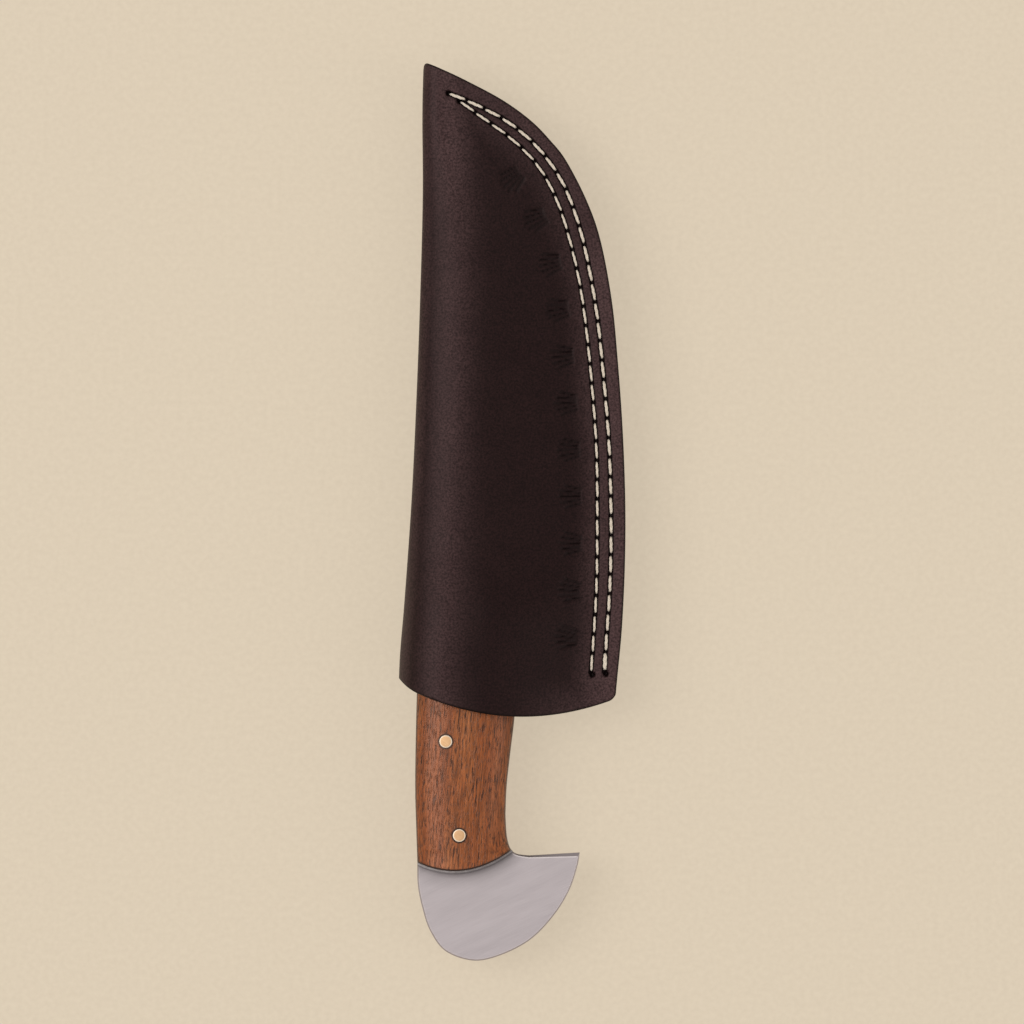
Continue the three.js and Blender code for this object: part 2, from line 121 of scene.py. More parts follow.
# ---- number helpers ----
def smooth(t):
    t = np.clip(t, 0, 1)
    return t * t * (3 - 2 * t)


def mix(a, b, t):
    return a + (b - a) * t


def bump(distance, width):
    """1 at no distance, falling off as a bell."""
    return np.exp(-((distance / width) ** 2))


def rim_drop(from_border, radius):
    """How far a face has dropped where it rounds off towards its border."""
    return radius - np.sqrt(radius**2 - np.clip(radius - from_border, 0, radius) ** 2)


def spline(points, count):
    """count + 1 places along the smooth curve through the points."""
    last = len(points) - 1
    place = np.linspace(0, last, count + 1)
    index = np.minimum(place.astype(int), last)
    t = (place - index)[:, None]
    before, here = points[np.maximum(index - 1, 0)], points[index]
    after, beyond = points[np.minimum(index + 1, last)], points[np.minimum(index + 2, last)]
    leave, arrive = (after - before) / 2, (beyond - here) / 2
    return (
        (2 * here - 2 * after + leave + arrive) * t**3
        + (3 * after - 3 * here - 2 * leave - arrive) * t**2
        + leave * t
        + here
    )


def x_at(line, y):
    order = np.argsort(line[:, 1])
    return np.interp(y, line[order, 1], line[order, 0])


def travelled(line):
    """Distance along a line at each of its points."""
    return np.r_[0, np.cumsum(np.hypot(*np.diff(line, axis=0).T))]


def from_place(place, points):
    return np.hypot(*(points - place).T)


def distance_to(line, points):
    """Distance from each point to a polyline."""
    nearest = np.full(len(points), np.inf)
    for start, step in zip(line[:-1], np.diff(line, axis=0)):
        away = points - start
        t = np.clip(away @ step / (step @ step), 0, 1)
        nearest = np.minimum(nearest, np.hypot(*(away - t[:, None] * step).T))
    return nearest


def along_line(line, distance, inset=0.0):
    """Places at distances along a line, moved to its right by inset, and the line's directions there."""
    at = travelled(line)
    place = np.stack([np.interp(distance, at, line[:, k]) for k in (0, 1)], -1)
    slope = np.gradient(line, at, axis=0)
    heading = np.stack([np.interp(distance, at, slope[:, k]) for k in (0, 1)], -1)
    heading /= np.hypot(*heading.T)[:, None]
    right = np.stack([heading[:, 1], -heading[:, 0]], -1)
    return place + right * inset, heading


def inset_line(line, inset):
    return along_line(line, travelled(line), inset)[0]


def wobble(points, scale, seed):
    """Smooth noise from -1 to 1."""
    return np.array([noise.noise(Vector(p) / scale + Vector((seed, 0, 0))) for p in points])


# ---- mesh helpers ----
def grid_faces(rows, columns, first=0):
    i, j = np.meshgrid(np.arange(rows - 1), np.arange(columns - 1), indexing="ij")
    corner = first + i * columns + j
    return np.stack([corner, corner + 1, corner + columns + 1, corner + columns], -1).reshape(-1, 4).tolist()


def border(rows, columns):
    """A grid's outline as a loop of vertex numbers."""
    i, j = np.arange(rows - 1), np.arange(columns - 1)
    top, right = j, i * columns + columns - 1
    bottom, left = (rows - 1) * columns + (columns - 1 - j), (rows - 1 - i) * columns
    return np.concatenate([top, right, bottom, left])


def slab_faces(rows, columns):
    """Faces of a closed slab: two grids of vertices, one after the other, and the wall between them."""
    size = rows * columns
    loop = border(rows, columns)
    ahead = np.roll(loop, -1)
    wall = np.stack([loop, ahead, ahead + size, loop + size], -1).tolist()
    return grid_faces(rows, columns) + grid_faces(rows, columns, size) + wall


def ring_faces(rings, sides, capped=False):
    """Faces that join closed rings of vertices, one ring to the next, and close the two ends."""
    faces = []
    for i in range(rings - 1):
        for j in range(sides):
            k = (j + 1) % sides
            faces.append([i * sides + j, i * sides + k, (i + 1) * sides + k, (i + 1) * sides + j])
    if capped:
        last = (rings - 1) * sides
        faces += [list(range(sides)), list(range(last, last + sides))]
    return faces


def linked(name, data):
    """An object in the scene that shows this data."""
    made = bpy.data.objects.new(name, data)
    bpy.context.scene.collection.objects.link(made)
    return made


def mesh_piece(name, replaced, body, slot, vertices, faces, sharp, masks=None):
    """A closed mesh with its faces turned out, riding on a body and standing for one CAD node.

    Edges that turn more than sharp degrees stay crisp. Masks are values at the vertices for the material.
    """
    mesh = bpy.data.meshes.new(name)
    mesh.from_pydata([tuple(v) for v in vertices], [], faces)
    for mask, values in (masks or {}).items():
        layer = mesh.attributes.new(mask, "FLOAT", "POINT")
        layer.data.foreach_set("value", np.asarray(values, np.float32))
    work = bmesh.new()
    work.from_mesh(mesh)
    bmesh.ops.remove_doubles(work, verts=work.verts, dist=1e-7)
    bmesh.ops.recalc_face_normals(work, faces=work.faces)
    for face in work.faces:
        face.smooth = True
    for edge in work.edges:
        edge.smooth = edge.calc_face_angle(0) < math.radians(sharp)
    work.to_mesh(mesh)
    work.free()
    mesh.materials.append(LOOKS[slot])
    piece = linked(name, mesh)
    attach(piece, body)
    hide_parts(replaced)


def joined(shapes):
    """Vertices and faces of one mesh from those of several separate shapes."""
    vertices, faces, count = [], [], 0
    for points, corners in shapes:
        vertices.append(points)
        faces += [[count + k for k in face] for face in corners]
        count += len(points)
    return np.concatenate(vertices), faces


def tube(path, radii, sides):
    """A closed tube along a path."""
    ahead = np.gradient(path, axis=0)
    ahead /= np.linalg.norm(ahead, axis=1)[:, None]
    side = np.cross(ahead, (0.0, 0.0, 1.0))
    side /= np.linalg.norm(side, axis=1)[:, None] + 1e-12
    up = np.cross(side, ahead)
    turn = np.linspace(0, 2 * math.pi, sides, endpoint=False)[None, :, None]
    ring = np.cos(turn) * side[:, None] + np.sin(turn) * up[:, None]
    vertices = (path[:, None] + ring * radii[:, None, None]).reshape(-1, 3)
    return vertices, ring_faces(len(path), sides, capped=True)


# ---- material helpers ----
def plug(tree, made, inputs):
    """Link each input to an output, or set it to a constant."""
    for key, value in inputs.items():
        if isinstance(value, bpy.types.NodeSocket):
            tree.links.new(value, made.inputs[key])
        else:
            made.inputs[key].default_value = value


def node(tree, kind, inputs=None, **settings):
    made = tree.nodes.new("ShaderNode" + kind)
    for key, value in settings.items():
        setattr(made, key, value)
    plug(tree, made, inputs or {})
    return made


def new_material(name, look):
    """A material whose shader has the inputs that the look makes in its node tree."""
    material = bpy.data.materials.new(name)
    material.use_nodes = True
    tree = material.node_tree
    plug(tree, tree.nodes["Principled BSDF"], look(tree))
    return material


def own_place(tree):
    return node(tree, "TexCoord").outputs["Object"]


def object_space(tree, scale=(1, 1, 1), turn=0.0):
    """The piece's own coordinates, turned about Z and then stretched."""
    turned = node(tree, "Mapping", {"Vector": own_place(tree), "Rotation": (0, 0, turn)})
    return node(tree, "Mapping", {"Vector": turned.outputs[0], "Scale": scale}).outputs[0]


def grain(tree, vector, scale, detail=3.0, rough=0.5):
    inputs = {"Vector": vector, "Scale": scale, "Detail": detail, "Roughness": rough}
    return node(tree, "TexNoise", inputs).outputs["Fac"]


def ramp(tree, value, stops):
    made = node(tree, "ValToRGB", {"Fac": value})
    elements = made.color_ramp.elements
    while len(elements) < len(stops):
        elements.new(0.5)
    for element, (place, color) in zip(elements, stops):
        element.position = place
        element.color = (*color, 1)
    return made.outputs["Color"]


def grey_ramp(tree, value, stops):
    return ramp(tree, value, [(place, (level,) * 3) for place, level in stops])


def blend(tree, factor, a, b, mode="MIX"):
    colors = [(*color, 1) if isinstance(color, tuple) else color for color in (a, b)]
    inputs = {0: factor, 6: colors[0], 7: colors[1]}
    return node(tree, "Mix", inputs, data_type="RGBA", blend_type=mode).outputs[2]


def maths(tree, operation, a, b=0.0, c=0.0):
    return node(tree, "Math", {0: a, 1: b, 2: c}, operation=operation).outputs[0]


def masked(tree, name, color, other):
    """The color, turned into the other where the mesh's mask is 1."""
    mask = node(tree, "Attribute", attribute_name=name).outputs["Fac"]
    return blend(tree, mask, color, other)


def bumps(tree, height, distance, strength):
    """A normal that stands for relief of this height."""
    inputs = {"Height": height, "Distance": distance, "Strength": strength}
    return node(tree, "Bump", inputs).outputs["Normal"]


# ---- materials ----
RAMP_SPAN = 0.005  # ramps of a distance run over this length


def leather(tree):
    """Dark brown leather, black where cut and rubbed, darker over the pocket and paler on the seam margin:
    partly the leather's tone and partly painted shade on the pocket's slope, with a painted highlight band
    along the fold.
    """
    place = object_space(tree)
    mottle = grain(tree, place, 90, 4, 0.6)
    fine = grain(tree, place, 1900, 2, 0.6)
    dark = ramp(tree, mottle, [(0.3, (0.0092, 0.0034, 0.0034)), (0.7, (0.0120, 0.0048, 0.0046))])
    pale = ramp(tree, mottle, [(0.3, (0.046, 0.0245, 0.0245)), (0.7, (0.060, 0.0335, 0.033))])
    # the pale mask paints a highlight band along the fold and keeps the pocket's slope darker than the seam
    # margin, partly as painted shade
    color = masked(tree, "pale", dark, pale)
    speck = grey_ramp(tree, fine, [(0.34, 0.50), (0.66, 1.58)])
    color = blend(tree, 1.0, color, speck, "MULTIPLY")
    # painted shade in the stitches' grooves and holes, and darker stamped strokes
    color = masked(tree, "groove_shade_and_stamps", color, (0.0045, 0.0022, 0.0022))
    color = masked(tree, "burnish", color, (0.0022, 0.0012, 0.0012))
    pebble = node(tree, "TexVoronoi", {"Vector": place, "Scale": 1450.0, "Randomness": 1.0})
    relief = maths(tree, "ADD", maths(tree, "MULTIPLY", pebble.outputs["Distance"], 0.7), fine)
    return {
        "Base Color": color,
        "Normal": bumps(tree, relief, 0.00006, 0.55),
        "Roughness": maths(tree, "MULTIPLY_ADD", mottle, 0.14, 0.42),
        "Specular IOR Level": 0.14,
        "Specular Tint": (1.0, 0.78, 0.76, 1),
    }


def cut_leather(tree):
    """The edge of a leather strip: layered, dyed nearly black and rubbed smooth."""
    layers = grain(tree, object_space(tree, (150, 150, 2200)), 1)
    return {
        "Base Color": ramp(tree, layers, [(0.3, (0.006, 0.0035, 0.003)), (0.7, (0.020, 0.0115, 0.009))]),
        "Normal": bumps(tree, layers, 0.0001, 0.5),
        "Roughness": 0.5,
    }


def thread(tree):
    """Waxed cream thread."""
    fibres = grain(tree, object_space(tree), 2600, 3, 0.6)
    return {
        "Base Color": ramp(tree, fibres, [(0.3, (0.56, 0.46, 0.35)), (0.7, (0.80, 0.71, 0.59))]),
        "Normal": bumps(tree, fibres, 0.00006, 0.6),
        "Roughness": 0.6,
        "Sheen Weight": 0.15,
    }


def pin_rings(tree, color):
    """The wood's color with the dark ring round each pin."""
    flat = node(tree, "VectorMath", {0: own_place(tree), 1: (1, 1, 0)}, operation="MULTIPLY")
    for x, y in PINS.values():
        reach = node(tree, "VectorMath", {0: flat.outputs[0], 1: (x, y, 0)}, operation="DISTANCE")
        reach = maths(tree, "DIVIDE", reach.outputs["Value"], RAMP_SPAN)
        ring = grey_ramp(tree, reach, [(0.418, 1.0), (0.433, 0.0)])
        color = blend(tree, ring, color, (0.010, 0.004, 0.0025))
    return color


def wood(tree):
    """Mid-brown hardwood: long grain that leans a little, with short dark pores."""
    lean = math.radians(5)
    bands = grain(tree, object_space(tree, (190, 12, 190), lean), 1, 4, 0.55)
    fibre = grain(tree, object_space(tree, (2700, 150, 2700), lean), 1, 4, 0.65)
    pores = grain(tree, object_space(tree, (2500, 300, 2500), lean), 1, 2, 0.5)
    flecks = grain(tree, object_space(tree, (4600, 620, 4600), lean), 1, 2, 0.5)
    color = ramp(tree, bands, [
        (0.28, (0.145, 0.0355, 0.0095)), (0.45, (0.218, 0.057, 0.0143)),
        (0.58, (0.260, 0.078, 0.022)), (0.75, (0.338, 0.119, 0.041)),
    ])
    streaks = grey_ramp(tree, fibre, [(0.37, 0.52), (0.63, 1.46)])
    color = blend(tree, 1.0, color, streaks, "MULTIPLY")
    long_pores = grey_ramp(tree, pores, [(0.580, 0.0), (0.640, 1.0)])
    short_pores = grey_ramp(tree, flecks, [(0.56, 0.0), (0.66, 0.75)])
    marks = maths(tree, "MAXIMUM", long_pores, short_pores)
    color = blend(tree, maths(tree, "MULTIPLY", marks, 0.90), color, (0.030, 0.0090, 0.0040))
    color = pin_rings(tree, color)
    # painted shade in dark lines along the wood's sides and the brow of its rear end; the foot of the cut
    # end is darker end grain with painted shade where it meets the liner
    color = masked(tree, "burnish", color, (0.005, 0.0025, 0.002))
    relief = maths(tree, "SUBTRACT", maths(tree, "MULTIPLY", fibre, 0.5), marks)
    return {
        "Base Color": color,
        "Normal": bumps(tree, relief, 0.00008, 0.6),
        "Roughness": 0.31,
        "Specular IOR Level": 0.62,
        "Specular Tint": (1.0, 0.62, 0.48, 1),
    }


def below_wood(tree):
    """Distance from the liners' curved end down the butt, as a share of a ramp's span."""
    apart = node(tree, "SeparateXYZ", {0: own_place(tree)}).outputs
    off_middle = maths(tree, "ABSOLUTE", maths(tree, "SUBTRACT", apart["X"], ARC_MIDDLE))
    rise = maths(tree, "MULTIPLY", maths(tree, "POWER", off_middle, 2.0), ARC_CURVE)
    below = maths(tree, "ADD", maths(tree, "SUBTRACT", rise, apart["Y"]), ARC_LOW - LINER_SHOWS)
    return maths(tree, "DIVIDE", below, RAMP_SPAN)


def steel(tree):
    """Stainless plate with a fine slanting brushed finish, and a painted shadow on the butt just below the
    handle's wood.
    """
    lean = math.radians(-24)
    strokes = grain(tree, object_space(tree, (160, 5200, 400), lean), 1, 3, 0.6)
    broad = grain(tree, object_space(tree, (45, 420, 60), lean), 1)
    tone = maths(tree, "MULTIPLY_ADD", strokes, 0.6, maths(tree, "MULTIPLY", broad, 0.4))
    color = ramp(tree, tone, [(0.35, (0.485, 0.432, 0.440)), (0.65, (0.545, 0.487, 0.495))])
    # painted shadow of the wood and liners, fading down the butt from their curved end
    shade = grey_ramp(tree, below_wood(tree), [
        (0.0, 0.0), (0.02, 0.85), (0.10, 0.50), (0.30, 0.24), (0.95, 0.0),
    ])
    color = blend(tree, shade, color, (0.130, 0.112, 0.112))
    # painted dark reflection on the chamfered rim, strongest along the beak, and a painted highlight along
    # its inner border
    color = masked(tree, "burnish", color, (0.36, 0.31, 0.31))
    color = masked(tree, "shine", color, (0.90, 0.82, 0.80))
    return {
        "Base Color": color,
        "Normal": bumps(tree, strokes, 0.00001, 0.5),
        "Roughness": maths(tree, "MULTIPLY_ADD", tone, 0.2, 0.32),
        "Metallic": 1.0,
    }


def liner(tree):
    """Grey fibre sheet with dark edges."""
    fibres = grain(tree, object_space(tree, (900, 900, 4000)), 1)
    color = ramp(tree, fibres, [(0.3, (0.30, 0.27, 0.265)), (0.7, (0.44, 0.40, 0.395))])
    return {
        "Base Color": masked(tree, "burnish", color, (0.035, 0.026, 0.024)),
        "Normal": bumps(tree, fibres, 0.00003, 0.5),
        "Roughness": 0.5,
    }


def brass(tree):
    """Ground brass, with a painted highlight on its chamfered rim."""
    scratch = grain(tree, object_space(tree, (700, 3500, 700), 0.6), 1)
    color = ramp(tree, scratch, [(0.3, (0.67, 0.430, 0.235)), (0.7, (0.77, 0.515, 0.295))])
    return {
        # painted highlight on the chamfered rim
        "Base Color": masked(tree, "burnish", color, (1.0, 0.88, 0.72)),
        "Normal": bumps(tree, scratch, 0.00001, 0.5),
        "Roughness": 0.65,
        "Metallic": 1.0,
    }


SLOTS = {
    "sheath_leather": leather, "welt_leather": cut_leather, "thread": thread, "handle_wood": wood,
    "steel": steel, "liner": liner, "pin_brass": brass,
}
LOOKS = {slot: new_material(slot, look) for slot, look in SLOTS.items()}

# ---- the sheath's shape ----
TIP_Y = 0.120
MOUTH_LOW = -0.0547
MOUTH_MIDDLE = 0.003
MOUTH_CURVE = 7.8  # rise per squared metre from the middle
CORNER_Y = -0.047  # of the mouth's two corners
CORNER_RADIUS = 0.002
FOLD_LIFT = 0.0017  # how much the mouth's corner at the fold is cut back
FOLD_LIFT_REACH = 0.0065
DRAIN_HOLE = 0.0042  # from the fold's outside to the start of the filler strip
FRONT_HALF = 0.0086  # half heights of the pocket's two sides
BACK_HALF = 0.0055
TIP_CROWN = 0.0007  # how far the front still stands above the seam at the tip
FRONT_TURN, BACK_TURN = 0.0125, 0.0065  # how far in from the fold the leather has turned level
TIP_TURN, MOUTH_TURN = 0.0044, 0.011
FRONT_SLOPE, BACK_SLOPE, MOUTH_SLOPE = 0.034, 0.012, 0.028  # width over which it rises from the seam
CROWN_ROUND = 0.7
TIP_FROM, TIP_LENGTH = 0.062, 0.050  # where the pocket closes towards the tip
BULGE_FROM, BULGE_FULL = -0.005, -0.031  # where it opens towards the mouth
TIP_FILLED = 0.7  # how far the inner face stays from the tip, in leather thicknesses
POCKET_SHARE = 0.84  # share of the grid's columns that lies between the fold and the seam margin
MARGIN_NEAREST = 0.3  # the margin never starts nearer the fold than this share of the width
MOUTH_ROWS = 0.55  # rows past this share follow the mouth's curve more and more

fold_line = spline(SHEATH_FOLD, 360)
edge_line = spline(SHEATH_EDGE, 360)
margin_line = inset_line(edge_line, WELT_WIDTH)


def mouth_y(x):
    from_edge = np.clip((x_at(edge_line, CORNER_Y) - x) / CORNER_RADIUS, 0, 1)
    corner = CORNER_RADIUS * (1 - np.sqrt(1 - (1 - from_edge) ** 2))
    from_fold = np.clip((x - x_at(fold_line, CORNER_Y)) / FOLD_LIFT_REACH, 0, 1)
    return MOUTH_LOW + MOUTH_CURVE * (x - MOUTH_MIDDLE) ** 2 + corner + FOLD_LIFT * (1 - from_fold) ** 3


def bulge(y):
    return smooth((BULGE_FROM - y) / (BULGE_FROM - BULGE_FULL))


def tip_share(y):
    return smooth((y - TIP_FROM) / TIP_LENGTH)


def sheath_height(x, y, front, depth, from_edge):
    """Half height of the leather's outer (depth 0) or inner (depth LEATHER) face."""
    if front:
        pocket = mix(FRONT_HALF, SEAM_HALF + TIP_CROWN, smooth((y - 0.005) / 0.100))
        turn = mix(FRONT_TURN, TIP_TURN, tip_share(y))
    else:
        pocket = mix(BACK_HALF, SEAM_HALF, tip_share(y))
        turn = mix(mix(BACK_TURN, TIP_TURN, tip_share(y)), MOUTH_TURN, bulge(y))
    height = mix(pocket, MOUTH_HALF, bulge(y))
    slope = mix(FRONT_SLOPE if front else BACK_SLOPE, MOUTH_SLOPE, bulge(y))
    seam = SEAM_HALF - depth
    rise = np.clip((from_edge - WELT_WIDTH) / slope, 0, 1)
    crown = seam + (height - depth - seam) * mix(smooth(rise), np.sin(rise * math.pi / 2), CROWN_ROUND)
    from_fold = np.clip((x - x_at(fold_line, y) - depth) / (turn - depth), 0, 1)
    return crown * np.sqrt(1 - (1 - from_fold) ** 2)


def sheath_places(across, along, depth):
    """x and y at shares across (0 fold, 1 cut edge) and along (0 tip, 1 mouth)."""
    level = mix(TIP_Y - TIP_FILLED * depth, MOUTH_LOW, along)
    pull = np.clip((along - MOUTH_ROWS) / (1 - MOUTH_ROWS), 0, 1) ** 2
    x, y = None, level + 0 * across
    for _ in range(4):
        fold = x_at(fold_line, y) + depth
        edge = x_at(edge_line, y)
        margin = np.maximum(x_at(margin_line, y), mix(fold, edge, MARGIN_NEAREST))
        on_pocket = mix(fold, margin, across / POCKET_SHARE)
        on_margin = mix(margin, edge, (across - POCKET_SHARE) / (1 - POCKET_SHARE))
        x = np.where(across < POCKET_SHARE, on_pocket, on_margin)
        y = level + (mouth_y(x) - MOUTH_LOW) * pull
    return x, y


# ---- stitch rows: holes at an even pitch along two lines that close on each other at the tip ----
OUTER_ROW = mm([
    (-17, 112), (-9.8, 109), (-0.9, 104.2), (6.9, 97.5), (13.2, 88.8), (17.1, 79.3), (19.8, 69.2),
    (22.6, 53.7), (24.3, 38.1), (26, 17.3), (26.5, -3.6), (26.2, -19.5), (25.2, -34.7), (24.7, -42.6),
])
INNER_ROW = mm([
    (-14, 109.9), (-8.3, 105.7), (0, 99.7), (7.2, 92.3), (12.1, 83.2), (15.3, 73.3), (17.8, 62.8),
    (19.4, 52.7), (21.1, 37), (22.6, 16.5), (22.8, -4.4), (22.6, -20.1), (21.7, -35.1), (21.1, -42.9),
])
ROWS = {
    "outer": {"line": OUTER_ROW, "stitches": 33, "width": 0.00082},
    "inner": {"line": INNER_ROW, "stitches": 32, "width": 0.00068},
}
HOLE_DEPTH = 0.0011
END_HOLE = (0.0004, -0.0006)  # the last hole of a row stands a little off its last stitch


def row_holes(row):
    """The awl holes of a row, from the tip to the mouth."""
    line = spline(row["line"], 400)
    return along_line(line, np.linspace(0, travelled(line)[-1], row["stitches"] + 1))[0]


row_lines = {name: row_holes(row) for name, row in ROWS.items()}


def seam_marks(flat, from_edge):
    """How deep the stitches' grooves and holes are, and how dark, the darkness being painted shade in them.
    """
    drop, groove_shade_and_stamps = np.zeros(len(flat)), np.zeros(len(flat))
    near = from_edge < 0.0105
    points = flat[near]
    for name, holes in row_lines.items():
        width = ROWS[name]["width"]
        away = distance_to(holes, points)
        sunk = 0.00012 * bump(away, 0.0011) + 0.00028 * bump(away, width * 0.62)
        dark = smooth((width * 0.5 + 0.00046 - away) / 0.00024)
        for hole in holes:
            reach = from_place(hole, points)
            sunk = np.maximum(sunk, HOLE_DEPTH * smooth((0.00085 - reach) / 0.0005))
            dark = np.maximum(dark, smooth((0.00085 - reach) / 0.0002))
        for end in (holes[0], holes[-1] + END_HOLE):
            reach = from_place(end, points)
            sunk = np.maximum(sunk, 1.5 * HOLE_DEPTH * smooth((0.0010 - reach) / 0.0006))
            dark = np.maximum(dark, smooth((0.0009 - reach) / 0.0002))
        drop[near] += sunk
        groove_shade_and_stamps[near] = np.maximum(groove_shade_and_stamps[near], dark)
    return drop, groove_shade_and_stamps


# ---- impressions: a fan of short strokes, repeated along the seam ----
STAMPS = 11
STAMP_FROM, STAMP_TO = 0.0400, 0.1770  # distances along the cut edge, from the tip
STAMP_INSET = 0.0143
STAMP_DEPTH = 0.00040
STROKES = 5
STROKE_WIDTH = 0.00032
FAN_CENTRE = 0.009  # from the stamp's middle towards the seam
STROKE_FROM, STROKE_TO = 0.0068, 0.0122  # distances from the fan's centre
STROKE_SPREAD = 0.27
SIDE_SHORTER = 0.0012  # how much shorter a fan's outermost strokes are


def stamp_strokes():
    """Start and end of every stroke: each fan spreads away from the seam."""
    line = along_line(edge_line, np.linspace(STAMP_FROM, STAMP_TO, 400), STAMP_INSET)[0]
    places, headings = along_line(line, np.linspace(0, travelled(line)[-1], STAMPS))
    strokes = []
    for place, heading in zip(places, headings):
        off_seam = np.array([heading[1], -heading[0]])
        centre = place - off_seam * FAN_CENTRE
        for k in np.linspace(-1, 1, STROKES):
            ray = off_seam * math.cos(k * STROKE_SPREAD) + heading * math.sin(k * STROKE_SPREAD)
            end = STROKE_TO - SIDE_SHORTER * k * k
            strokes.append(np.array([centre + ray * STROKE_FROM, centre + ray * end]))
    return strokes


def stamp_marks(flat, from_edge, in_front):
    """How strongly the stamped strokes press each point, from 0 to 1."""
    groove_shade_and_stamps = np.zeros(len(flat))
    near = in_front & (from_edge > 0.009) & (from_edge < 0.019)
    for stroke in stamp_strokes():
        groove_shade_and_stamps[near] = np.maximum(groove_shade_and_stamps[near], bump(distance_to(stroke, flat[near]), STROKE_WIDTH))
    return groove_shade_and_stamps


# ---- the sheath's leather ----
RIM = 0.0006  # radius to which the leather's cut edges are rounded off
LINING_STEP = 4  # the lining's grid has one row and column for this many of the outer skin's
LINING_LAP = 0.0003  # how far the lining's border reaches towards the outer skin
SOFTNESS = 0.00022  # depth of the leather's gentle unevenness


def sheath_grid():
    """Shares along and across the sheath for the outer skin, and which columns are on the front."""
    along = np.r_[0, 0.001, 0.0022, 0.0040, np.linspace(0.006, 0.9935, 393), 0.9955, 0.9975, 0.9990, 1]
    turned = 0.22 * np.linspace(0, 1, 25) ** 1.7
    on_margin = np.r_[np.linspace(0, 0.94, 41)[1:], 0.958, 0.972, 0.986, 1]
    on_margin = POCKET_SHARE + (1 - POCKET_SHARE) * on_margin
    front_pocket = np.r_[np.linspace(0.22, 0.42, 13)[1:], np.linspace(0.42, POCKET_SHARE, 57)[1:]]
    front = np.r_[turned, front_pocket, on_margin]
    back = np.r_[turned, np.linspace(0.22, POCKET_SHARE, 33)[1:], on_margin]
    across = np.r_[front[::-1], back[1:]]
    return along, across, np.arange(len(across)) < len(front)


def sheath_surface(along, across, is_front, depth):
    """Places, signed heights and distances from the cut edge over a grid of the leather's face."""
    x, y = sheath_places(across[None, :], along[:, None], depth)
    flat = np.c_[x.ravel(), y.ravel()]
    from_edge = distance_to(edge_line, flat).reshape(x.shape)
    up = sheath_height(x, y, True, depth, from_edge)
    down = sheath_height(x, y, False, depth, from_edge)
    height = np.where(is_front[None, :], up, -down)
    height[:, across == 0] = 0
    return flat, height.ravel(), from_edge.ravel()


def paleness(flat, from_edge, from_mouth):
    """Where the leather is paler: the seam margin, beside a pocket whose darker slope is partly painted
    shade; a painted highlight band along the fold; the fold; and by the mouth.
    """
    x, y = flat.T
    from_fold = x - x_at(fold_line, y)
    toward_tip = smooth((y - 0.068) / 0.040)
    margin = smooth((0.0150 - from_edge) / 0.0128) * mix(1, 0.60, smooth((y - 0.058) / 0.022))
    band_middle = mix(mix(0.0108, 0.0090, smooth((y + 0.040) / 0.080)), 0.0066, toward_tip)
    # painted highlight along the fold's rounded shoulder
    painted_highlight_band = mix(0.60, 0.93, toward_tip) * bump(from_fold - band_middle, 0.0056)
    on_fold = 0.46 * smooth((0.0042 - from_fold) / 0.003)
    by_mouth = 0.55 * smooth((0.011 - from_mouth) / 0.011) * smooth((x + 0.002) / 0.020)
    return np.maximum.reduce([margin, painted_highlight_band, on_fold, by_mouth])


def sheath_body():
    """The folded sheet: a fine outer skin with its stitches' grooves, and a coarser lining."""
    along, across, is_front = sheath_grid()
    flat, height, from_edge = sheath_surface(along, across, is_front, 0.0)
    in_front = np.tile(is_front, len(along))
    face = np.where(in_front, 1.0, -1.0)
    from_mouth = np.maximum(flat[:, 1] - mouth_y(flat[:, 0]), 0)
    from_border = np.minimum.reduce([from_edge, from_mouth, TIP_Y - flat[:, 1]])
    sunk, dark = seam_marks(flat, from_edge)
    stamped = stamp_marks(flat, from_edge, in_front)
    drop = rim_drop(from_border, RIM) + sunk + STAMP_DEPTH * stamped
    soft = SOFTNESS * wobble(np.c_[flat, face * 0.05], 0.016, 3.0) * smooth((from_edge - 0.008) / 0.006)
    soft[from_border <= 0.002] = 0
    ease = np.clip(np.abs(height) / SEAM_HALF, 0, 1)
    outer = np.c_[flat, KNIFE_Z + height - face * ease * (drop - soft)]

    coarse = [shares[::LINING_STEP] for shares in (along, across, is_front)]
    inner_flat, inner_height, _ = sheath_surface(*coarse, LEATHER)
    inner = np.c_[inner_flat, KNIFE_Z + inner_height]
    inner_shape = len(coarse[0]), len(coarse[1])
    inner_border = border(*inner_shape)
    inner_face = np.where(np.tile(coarse[2], inner_shape[0]), 1.0, -1.0)
    inner[inner_border, 2] += LINING_LAP * inner_face[inner_border]

    shape = len(along), len(across)
    outer_border = border(*shape)
    fine = np.arange(len(inner_border))[:, None] * LINING_STEP + np.arange(LINING_STEP + 1)
    coarse_border = len(outer) + inner_border
    wall = np.c_[outer_border[fine % len(outer_border)], np.roll(coarse_border, -1), coarse_border]
    faces = grid_faces(*shape) + grid_faces(*inner_shape, len(outer)) + wall.tolist()
    plain, inner_cut = np.zeros(len(inner)), np.zeros(len(inner))
    inner_cut[inner_border] = 1
    # the first two masks carry a painted highlight along the fold, partly painted shade over the pocket, and
    # painted shade in the stitches' grooves and holes beside the darker stamps
    masks = {
        "pale": np.r_[paleness(flat, from_edge, from_mouth), plain],
        "groove_shade_and_stamps": np.r_[np.maximum(dark, stamped), plain],
        "burnish": np.r_[np.clip(1.35 - from_border / 0.00042, 0, 1), inner_cut],
    }
    vertices = np.concatenate([outer, inner])
    mesh_piece("sheath_leather_body", "sheath_body", "sheath", "sheath_leather", vertices, faces, 50, masks)


# ---- the filler strip in the seam ----
WELT_RECESS = 0.00012  # how far it stays behind the panels' edges
WELT_PROFILE = [  # shares of its width and of its half thickness
    (0, 1), (0.94, 1), (0.985, 0.82), (1, 0.35), (1, -0.35), (0.985, -0.82), (0.94, -1), (0, -1),
]


